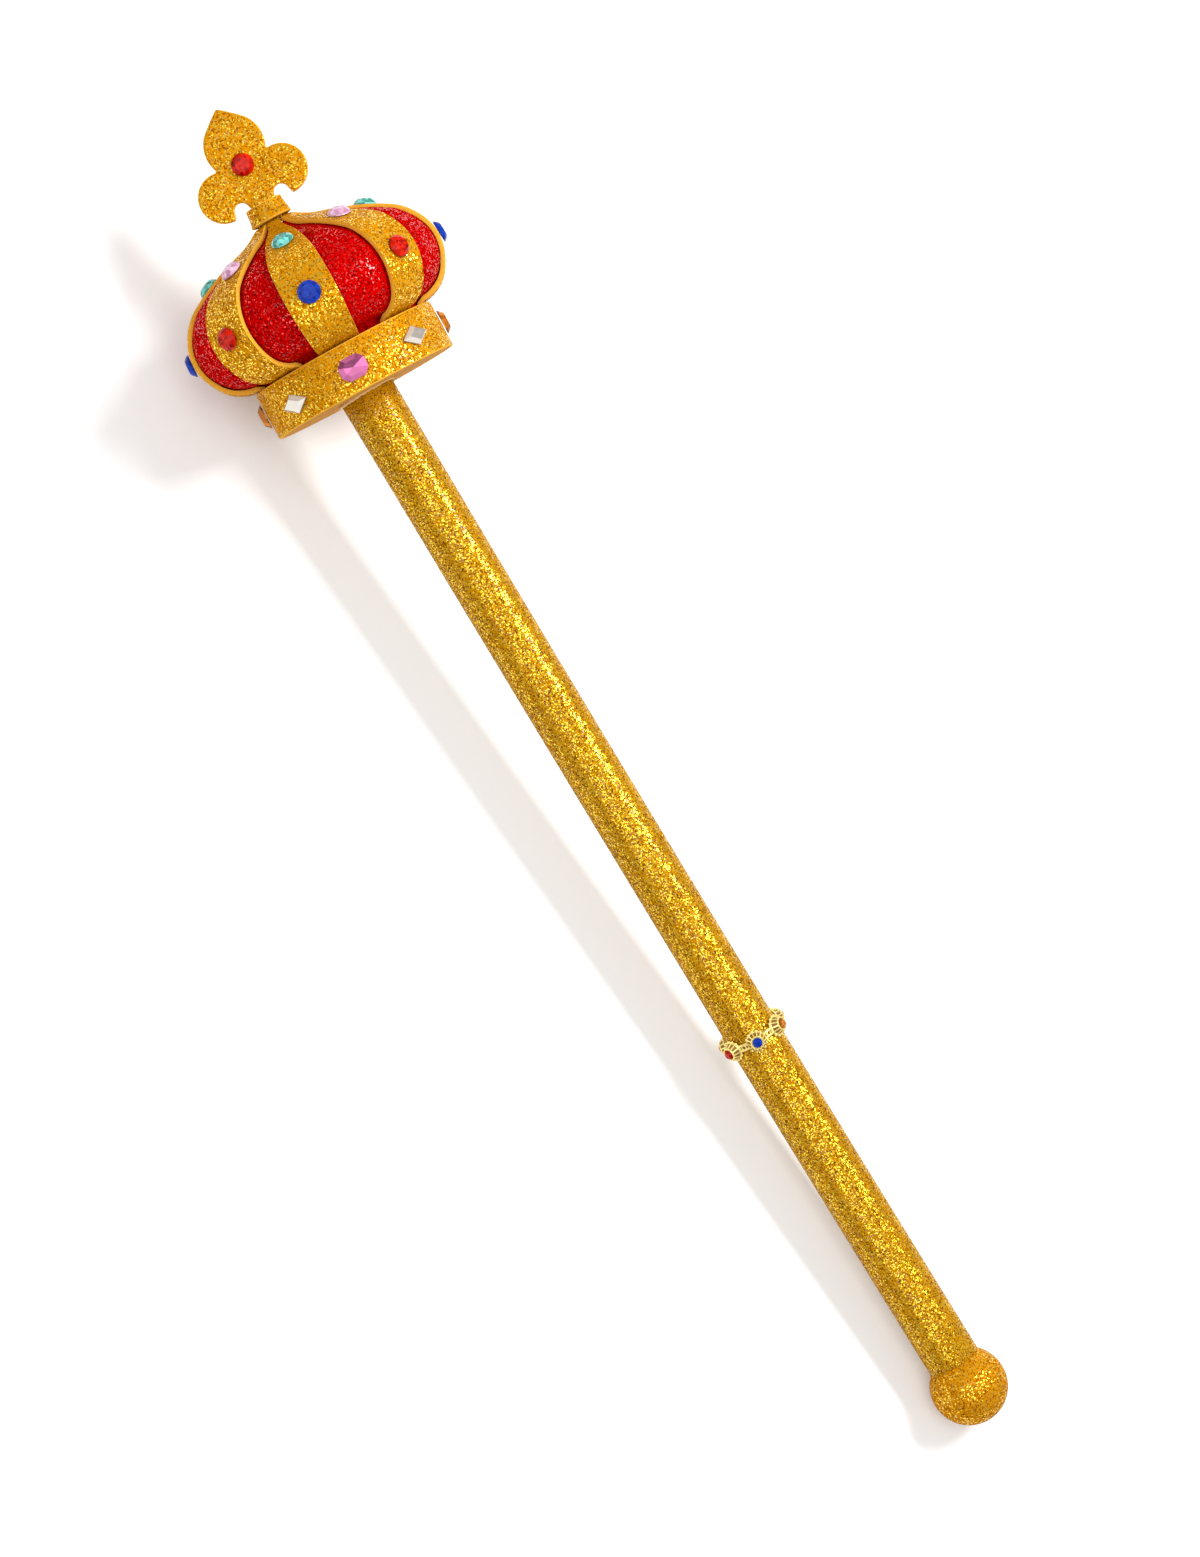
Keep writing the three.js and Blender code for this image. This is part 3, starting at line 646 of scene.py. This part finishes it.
def smooth_path(points, count):
    """Evenly spaced places on a smooth curve through the points."""
    points = [Vector(p) for p in points]
    ends = [points[0] * 2 - points[1], *points, points[-1] * 2 - points[-2]]
    fine = []
    for a, b, c, d in zip(ends, ends[1:], ends[2:], ends[3:]):
        for i in range(24):
            t = i / 24
            fine.append(0.5 * (2 * b + (c - a) * t + (2 * a - 5 * b + 4 * c - d) * t ** 2
                               + (3 * b - a - 3 * c + d) * t ** 3))
    fine.append(points[-1])
    lengths = [0]
    for p, q in zip(fine, fine[1:]):
        lengths.append(lengths[-1] + (q - p).length)
    even, k = [], 0
    for i in range(count):
        want = lengths[-1] * i / (count - 1)
        while k < len(fine) - 2 and lengths[k + 1] < want:
            k += 1
        even.append(fine[k].lerp(fine[k + 1], (want - lengths[k]) / (lengths[k + 1] - lengths[k])))
    return even


STRIP_ROWS = 49
strip_curve = smooth_path(STRIP_PATH, STRIP_ROWS)


def cut_strip(name, width_share):
    """One strip at the front of the crown, in the head's own frame."""
    bpy.ops.mesh.primitive_grid_add(x_subdivisions=6, y_subdivisions=STRIP_ROWS - 1, size=1)
    strip = name_piece(name)
    start_editing(strip)
    mesh = bmesh.from_edit_mesh(strip.data)
    rows = [{v.index for v in mesh.verts if abs(v.co.y - 0.5 + row / (STRIP_ROWS - 1)) < 1e-4}
            for row in range(STRIP_ROWS)]
    for row, (radius, height, width) in enumerate(strip_curve):
        was = 0.5 - row / (STRIP_ROWS - 1)
        pick(strip, lambda v: v.index in rows[row])
        bpy.ops.transform.resize(value=(width * width_share * MM, 1, 1), center_override=(0, was, 0))
        bpy.ops.transform.translate(value=(0, -radius * MM - was, height * MM))
    stop_editing()
    strip.data.materials.append(gold_foam)
    strip.data.materials.append(foam_edge)
    apply_modifier(strip, "SOLIDIFY", thickness=FOAM, offset=-1, material_offset_rim=1)
    apply_modifier(strip, "BEVEL", width=0.3 * MM, segments=2, limit_method="ANGLE")
    smooth_shading(strip, 40)
    return strip


def copy_piece(piece, name):
    copy = piece.copy()
    copy.data = piece.data.copy()
    copy.name = copy.data.name = name
    bpy.context.collection.objects.link(copy)
    return copy


whole_strip = cut_strip("strip_foam_1", 1)
for number, (turn, width) in enumerate(zip(STRIP_TURNS, STRIP_WIDTHS), 1):
    name = f"strip_foam_{number}"
    if width != 1:
        piece = cut_strip(name, width)
    elif number == 1:
        piece = whole_strip
    else:
        piece = copy_piece(untouched_strip, name)
    if number == 1:
        untouched_strip = copy_piece(whole_strip, "strip_pattern")
    lay_down(piece, head @ Matrix.Rotation(math.radians(turn), 4, "Z"))
    fit_out(piece, "gold_foam", f"strip_{number}")
bpy.data.objects.remove(untouched_strip)

# ------------------------------------------------------------------ the dome
# A foam core covered in red glitter, which shows between the strips. It swells a little
# between them, and its foot spreads to the headband.
DOME_GAP = 0.05 * MM
DOME_BOTTOM = BAND_BOTTOM + FOAM + 2 * GAP
DOME_TOP_R = 5 * MM
DOME_ROWS = 60
DOME_SWELL = 1.3 * MM
FOOT_SPREAD = 1.1 * MM

red_glitter = glitter_material("red glitter", 0.5, 0.4, linear(116, 0, 0), linear(178, 2, 2),
                               linear(255, 80, 74), 0.25, 0.05, 0.03, 0.09)

inner_curve = []
for before, here, after in zip(strip_curve, strip_curve[1:], strip_curve[2:]):
    run, rise = after.x - before.x, after.y - before.y
    length = math.hypot(run, rise)
    depth = (FOAM + DOME_GAP) / MM
    inner_curve.append((here.x + depth * rise / length, here.y - depth * run / length, 0))
inner_curve = [p for p in inner_curve if p[0] > DOME_TOP_R / MM]
inner_curve = [(DOME_TOP_R / MM, inner_curve[0][1] + 0.8, 0)] + inner_curve
inner_curve[-1] = (inner_curve[-1][0], DOME_BOTTOM / MM, 0)
dome_curve = smooth_path(inner_curve, DOME_ROWS)

bpy.ops.mesh.primitive_circle_add(vertices=144, radius=dome_curve[0].x * MM, fill_type="NGON",
                                  location=(0, 0, dome_curve[0].y * MM))
dome = name_piece("dome_core")
clear_selection()
dome.select_set(True)
bpy.ops.object.transform_apply(location=True, rotation=True, scale=True)
start_editing(dome, "EDGE")
bpy.ops.mesh.select_all(action="SELECT")
bpy.ops.mesh.region_to_loop()
for above, below in zip(dome_curve, dome_curve[1:]):
    bpy.ops.mesh.extrude_region_move(TRANSFORM_OT_translate={"value": (0, 0, (below.y - above.y) * MM)})
    growth = below.x / above.x
    bpy.ops.transform.resize(value=(growth, growth, 1), center_override=(0, 0, below.y * MM))
bpy.ops.mesh.edge_face_add()
bpy.ops.mesh.select_all(action="SELECT")
bpy.ops.mesh.normals_make_consistent(inside=False)
stop_editing()

gaps = dome.vertex_groups.new(name="between the strips")
foot = dome.vertex_groups.new(name="foot")
for v in dome.data.vertices:
    angle = math.degrees(math.atan2(v.co.x, -v.co.y)) % 360
    off = min(abs((angle - turn + 180) % 360 - 180) for turn in STRIP_TURNS) / 22.5
    radius = math.hypot(v.co.x, v.co.y)
    reach = 10.6 * MM / max(radius, 10.6 * MM) * math.degrees(1) / 22.5  # half a strip
    open_share = max(0, min(1, (off - reach) / max(1 - reach, 0.05)))
    rounded = min(1, open_share * 7) ** 0.5
    height = v.co.z / MM
    gaps.add([v.index], rounded * max(0, min(1, (height - 24) / 8)) * max(0, min(1, (74 - height) / 8)), "REPLACE")
    foot.add([v.index], min(1, open_share * 4) * max(0, 1 - abs(height - 21.0) / 2.2), "REPLACE")
apply_modifier(dome, "DISPLACE", strength=DOME_SWELL, mid_level=0, vertex_group="between the strips")
apply_modifier(dome, "DISPLACE", strength=FOOT_SPREAD, mid_level=0, vertex_group="foot")
smooth_shading(dome, 60)
lay_down(dome, head)
dome.data.materials.append(red_glitter)
fit_out(dome, "red_glitter", "crown_dome")

# ------------------------------------------------------------------ the collar
# A short strip of the same foam, wound once round the ends of the eight strips and the
# stem. Its end laps over its start on the right, and its foot flares over the strips.
COLLAR_BOTTOM = 78 * MM
COLLAR_HEIGHT = 7.2 * MM
COLLAR_START_R, COLLAR_END_R = 7.5 * MM, 8.3 * MM
COLLAR_FLARE = 1.05 * MM
COLLAR_END = math.radians(62)
COLLAR_STEPS = 72
COLLAR_ROWS = 6

bpy.ops.mesh.primitive_grid_add(x_subdivisions=1, y_subdivisions=COLLAR_ROWS, size=1)
collar = name_piece("collar_foam")
start_editing(collar)
pick(collar, lambda v: v.co.x > 0)
bpy.ops.mesh.delete(type="VERT")
bpy.ops.mesh.select_all(action="SELECT")
bpy.ops.transform.translate(value=(0.5, 0, 0))
stop_editing()
collar.matrix_world = (Matrix.Rotation(COLLAR_END - math.pi / 2, 4, "Z") @ Matrix.Translation((COLLAR_START_R, 0, COLLAR_BOTTOM + COLLAR_HEIGHT / 2))
                       @ Matrix.Rotation(math.pi / 2, 4, "X") @ Matrix.Scale(COLLAR_HEIGHT, 4))
bpy.ops.object.transform_apply(location=True, rotation=True, scale=True)
start_editing(collar)
bpy.ops.mesh.select_all(action="SELECT")
bpy.ops.mesh.spin(steps=COLLAR_STEPS, angle=-2 * math.pi, center=(0, 0, 0), axis=(0, 0, 1), use_auto_merge=False)
for step in range(COLLAR_STEPS + 1):
    first = step * (COLLAR_ROWS + 1)
    pick(collar, lambda v: first <= v.index <= first + COLLAR_ROWS)
    growth = 1 + (COLLAR_END_R / COLLAR_START_R - 1) * step / COLLAR_STEPS
    bpy.ops.transform.resize(value=(growth, growth, 1), center_override=(0, 0, 0))
for row in range(COLLAR_ROWS):
    height = COLLAR_BOTTOM + COLLAR_HEIGHT * row / COLLAR_ROWS
    pick(collar, lambda v: abs(v.co.z - height) < 1e-4)
    growth = 1 + COLLAR_FLARE / COLLAR_END_R * (1 - row / COLLAR_ROWS) ** 2
    bpy.ops.transform.resize(value=(growth, growth, 1), center_override=(0, 0, height))
stop_editing()
collar.data.materials.append(gold_foam)
collar.data.materials.append(foam_edge)
apply_modifier(collar, "SOLIDIFY", thickness=1.6 * MM, offset=-1, material_offset_rim=1)
apply_modifier(collar, "BEVEL", width=0.4 * MM, segments=3, limit_method="ANGLE", material=1)
smooth_shading(collar, 40)
lay_down(collar, head)
fit_out(collar, "gold_foam", "collar")

# ------------------------------------------------------------------ the fleur-de-lis
# Cut from a double thickness of foam with softly rounded edges and glitter on its faces.
# Its stem goes down inside the collar, and glue shows round it.
def merged_copy(node, name):
    """A new piece with the shape of a CAD node, its corners joined."""
    piece = bpy.data.objects.new(name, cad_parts[node].data.copy())
    piece.data.name = name
    bpy.context.collection.objects.link(piece)
    piece.data.materials.clear()
    start_editing(piece)
    bpy.ops.mesh.select_all(action="SELECT")
    bpy.ops.mesh.remove_doubles(threshold=1e-6)
    bpy.ops.mesh.normals_make_consistent(inside=False)
    stop_editing()
    return piece


fleur = merged_copy("fleur", "fleur_foam")
apply_modifier(fleur, "REMESH", mode="VOXEL", voxel_size=0.4 * MM, use_smooth_shade=True)
apply_modifier(fleur, "SMOOTH", factor=0.5, iterations=4)
fleur.data.materials.append(gold_foam)
fleur.data.materials.append(foam_edge)
facing = -(head.to_3x3() @ Vector((0, 1, 0)))
for face in fleur.data.polygons:
    if abs(face.normal.dot(facing)) < 0.75:
        face.material_index = 1
fit_out(fleur, "fleur_foam", "fleur")

# the glue that fills the collar round the stem
bpy.ops.mesh.primitive_ico_sphere_add(subdivisions=4, radius=5.6 * MM)
glue_pool = name_piece("collar_glue")
start_editing(glue_pool)
bpy.ops.mesh.select_all(action="SELECT")
bpy.ops.transform.resize(value=(1, 1, 0.3))
bpy.ops.transform.vertex_random(offset=0.12 * MM, seed=3)
bpy.ops.mesh.vertices_smooth(factor=0.5, repeat=2)
bpy.ops.transform.translate(value=(0, 0, COLLAR_BOTTOM + COLLAR_HEIGHT - 1.6 * MM))
stop_editing()
smooth_shading(glue_pool)
glue_pool.data.materials.append(glue)
lay_down(glue_pool, head)
fit_out(glue_pool, "fleur_foam")

# ------------------------------------------------------------------ the crown's round stones
# Flat-backed acrylic stones glued on the strips: sapphires and rubies round the widest part,
# turquoise and lilac ones on the shoulder, and a ruby on the fleur-de-lis.
ROUND_STONE_R = 4.65 * MM
STONE_HEIGHT, STONE_EDGE, STONE_TABLE = 2.4 * MM, 0.6 * MM, 0.62
EQUATOR_STONE_Z = 42.7
SHOULDER_STONE_R = 34.7

turquoise = acrylic("turquoise acrylic", linear(44, 112, 96), linear(122, 206, 200))
lilac = acrylic("lilac acrylic", linear(160, 106, 138), linear(222, 184, 206))


def strip_spot(test):
    """Where the strip's outer face first meets the test: radius, height and upward pitch."""
    fine = smooth_path(STRIP_PATH, 1500)
    k = next(i for i, p in enumerate(fine) if test(p))
    run, rise = fine[k + 1].x - fine[k - 1].x, fine[k + 1].y - fine[k - 1].y
    return fine[k].x * MM, fine[k].y * MM, math.atan2(run, -rise)


def set_stone(stone, turn, radius, height, pitch):
    """Sets a stone on the head, its back a little off the surface."""
    lay_down(stone, head @ Matrix.Rotation(math.radians(turn), 4, "Z")
             @ Matrix.Translation((0, -radius - GAP * math.cos(pitch), height + GAP * math.sin(pitch)))
             @ Matrix.Rotation(math.pi / 2 - pitch, 4, "X"))


equator = strip_spot(lambda p: p.y < EQUATOR_STONE_Z)
shoulder = strip_spot(lambda p: p.x > SHOULDER_STONE_R)
for number, turn in enumerate(STRIP_TURNS, 1):
    on_cross = number % 2 == 1
    stone = round_stone(f"equator_acrylic_{number}", ROUND_STONE_R, STONE_HEIGHT, STONE_EDGE, STONE_TABLE, 12,
                        sapphire if on_cross else ruby, number)
    set_stone(stone, turn, *equator)
    fit_out(stone, "sapphire" if on_cross else "ruby", f"equator_stone_{number}")
    stone = round_stone(f"shoulder_acrylic_{number}", ROUND_STONE_R, STONE_HEIGHT, STONE_EDGE, STONE_TABLE, 12,
                        turquoise if on_cross else lilac, 10 + number)
    set_stone(stone, turn, *shoulder)
    fit_out(stone, "turquoise" if on_cross else "lilac", f"shoulder_stone_{number}")

FLEUR_THICKNESS = 3.8 * MM
FLEUR_STONE_Z = 16.9 * MM
fleur_place = (head @ Matrix.Translation((-0.5 * MM, 0, COLLAR_BOTTOM + COLLAR_HEIGHT))
               @ Matrix.Rotation(math.radians(1.8), 4, "Y"))
stone = round_stone("fleur_acrylic", ROUND_STONE_R, STONE_HEIGHT, STONE_EDGE, STONE_TABLE, 12, ruby, 30)
lay_down(stone, fleur_place @ Matrix.Translation((0, -FLEUR_THICKNESS / 2 - GAP, FLEUR_STONE_Z)) @ Matrix.Rotation(math.pi / 2, 4, "X"))
fit_out(stone, "ruby", "fleur_stone")

# ------------------------------------------------------------------ the headband's stones
# Round the headband: a pink oblong stone with cut corners in front and behind, mirrored
# rhombuses at the quarters and amber ovals at the sides.
BAND_STONE_TURNS = (0, 43.4, 90, 135, 180, 225, 270, 317.6)
BAND_STONE_Z = (10.2, 10.2, 10.8, 10.2, 10.2, 10.2, 11.3, 9.1)  # mm, glued on by eye

pink = acrylic("pink acrylic", linear(84, 20, 56), linear(206, 112, 164))
silver = acrylic("mirrored acrylic", linear(112, 108, 104), linear(226, 220, 210), metallic=0.3)


def finish_stone(stone, edge, height, table, material, seed, lit_or_shaded_facets=()):
    """Raises the facets and the table from the flat blank that is being edited."""
    pick(stone, lambda f: f.normal.z > 0.99, "faces")
    bpy.ops.mesh.extrude_region_move(TRANSFORM_OT_translate={"value": (0, 0, height - edge)})
    bpy.ops.transform.resize(value=(table, table, 1), center_override=(0, 0, height))
    bpy.ops.mesh.inset(thickness=0.9 * MM)
    bpy.ops.mesh.poke(offset=-0.02 * MM)
    bpy.ops.mesh.select_all(action="SELECT")
    bpy.ops.mesh.normals_make_consistent(inside=False)
    stop_editing()
    stone.data.materials.append(material)
    paint_facet_light(stone, seed, lit_or_shaded_facets)
    return stone


def octagon_stone(name, seed):
    bpy.ops.mesh.primitive_cube_add(size=1, location=(0, 0, STONE_EDGE / 2), scale=(11.3 * MM, 9.1 * MM, STONE_EDGE))
    stone = name_piece(name)
    clear_selection()
    stone.select_set(True)
    bpy.ops.object.transform_apply(location=True, rotation=True, scale=True)
    start_editing(stone, "EDGE")
    pick(stone, lambda e: abs(e.verts[0].co.z - e.verts[1].co.z) > 0.1 * MM, "edges")
    bpy.ops.mesh.bevel(offset=2.4 * MM, segments=1)
    bpy.ops.mesh.select_mode(type="FACE")
    # painted light and shade on the facets by where they lie: the upper ones dark, the lower ones lighter, the sides
    # brightest
    above = (lambda c, n: c.y > 0.3 * MM and c.z > 2.2 * MM, 0.15)
    below = (lambda c, n: c.y < -0.3 * MM and c.z > 1 * MM, 0.75)
    sides = (lambda c, n: abs(c.x) > 1.5 * MM and abs(c.y) < 1.2 * MM and c.z > 1 * MM, 1.3)
    return finish_stone(stone, STONE_EDGE, STONE_HEIGHT, STONE_TABLE, pink, seed, (above, below, sides))


def outlined_stone(name, sides, width, height, material, seed, turn=0, lit_or_shaded_facets=()):
    bpy.ops.mesh.primitive_cylinder_add(vertices=sides, radius=0.5, depth=1, location=(0, 0, STONE_EDGE / 2), rotation=(0, 0, turn))
    stone = name_piece(name)
    bpy.ops.object.transform_apply(location=False, rotation=True, scale=True)
    stone.scale = (width, height, STONE_EDGE)
    bpy.ops.object.transform_apply(location=True, rotation=True, scale=True)
    start_editing(stone, "FACE")
    return finish_stone(stone, STONE_EDGE, STONE_HEIGHT, STONE_TABLE, material, seed, lit_or_shaded_facets)


for number, (turn, height) in enumerate(zip(BAND_STONE_TURNS, BAND_STONE_Z), 1):
    name = f"band_acrylic_{number}"
    if number in (1, 5):
        stone, finish = octagon_stone(name, 50 + number), "pink"
    elif number in (3, 7):
        stone, finish = outlined_stone(name, 16, 8.4 * MM, 10 * MM, topaz, 50 + number, math.pi / 16), "topaz"
    else:
        # the table takes a painted reflection: dark on the second stone, light on the other rhombuses
        painted_table_light = (lambda c, n: c.z > 2.2 * MM, 0.25 if number == 2 else 0.85)
        stone, finish = outlined_stone(name, 4, 14 * MM, 8.2 * MM, silver, 50 + number, 0, (painted_table_light,)), "silver"
    set_stone(stone, turn, BAND_R, height * MM, 0)
    fit_out(stone, finish, f"band_stone_{number}")

# ------------------------------------------------------------------ floor, light and camera
# A plain pale floor, one long softbox to the right of the sceptre and a soft fill overhead.
floor_material = bpy.data.materials.new("pale floor")
floor_material.use_nodes = True
floor_shader = floor_material.node_tree.nodes["Principled BSDF"]
floor_shader.inputs["Base Color"].default_value = (0.9, 0.9, 0.9, 1)
floor_shader.inputs["Roughness"].default_value = 0.9
floor_shader.inputs["Specular IOR Level"].default_value = 0.1
bpy.ops.mesh.primitive_plane_add(size=8, location=(0, 0, 0))
floor = name_piece("floor")
floor.data.materials.append(floor_material)

LENS = 96.4              # mm, on a sensor 36 mm along the long side
DISTANCE = 1660.3 * MM
PITCH = math.radians(4.01)
ROLL = math.radians(31.22)
aim = staff @ Vector((-0.26 * MM, 0, -177.9 * MM))
turn = staff.to_3x3()
toward = turn @ Vector((0, -math.cos(PITCH), math.sin(PITCH)))
right0 = turn @ Vector((1, 0, 0))
up0 = toward.cross(right0)
cam_right = math.cos(ROLL) * right0 - math.sin(ROLL) * up0
cam_up = math.sin(ROLL) * right0 + math.cos(ROLL) * up0
camera_data = bpy.data.cameras.new("camera")
camera_data.lens = LENS
camera_data.sensor_width = 36
camera_data.sensor_fit = "AUTO"
camera_data.clip_end = 30
camera = bpy.data.objects.new("camera", camera_data)
bpy.context.collection.objects.link(camera)
camera.matrix_world = axes(cam_right, cam_up, toward, aim + DISTANCE * toward)
bpy.context.scene.camera = camera


def softbox(name, direction, distance, width, length, power, along):
    """A rectangular light seen from the sceptre in that direction."""
    data = bpy.data.lights.new(name, "AREA")
    data.shape, data.size, data.size_y = "RECTANGLE", width, length
    data.energy = power
    light = bpy.data.objects.new(name, data)
    bpy.context.collection.objects.link(light)
    direction = direction.normalized()
    side = along.cross(direction).normalized()
    light.matrix_world = axes(side, direction.cross(side), direction,
                              Vector((0, 0, 0.03)) + direction * distance)
    return light


key_turn = math.radians(55.4)
key_direction = math.cos(key_turn) * toward + math.sin(key_turn) * right0
softbox("key", key_direction + 0.13 * up, 1.6, 0.3, 0.9, 27, up)
softbox("fill", Vector((0.0, 0.5, 1)), 2.4, 2.2, 2.2, 36, up)

world = bpy.data.worlds.new("studio")
bpy.context.scene.world = world
world.use_nodes = True
air = world.node_tree.nodes["Background"]
air.inputs["Color"].default_value = (1, 1, 1, 1)
sight = world.node_tree.nodes.new("ShaderNodeLightPath")
world.node_tree.links.new(maths(world.node_tree, "MULTIPLY_ADD", sight.outputs["Is Camera Ray"], 0.45, 0.55),
                          air.inputs["Strength"])
bpy.context.scene.view_settings.view_transform = "Standard"
bpy.context.scene.view_settings.look = "None"
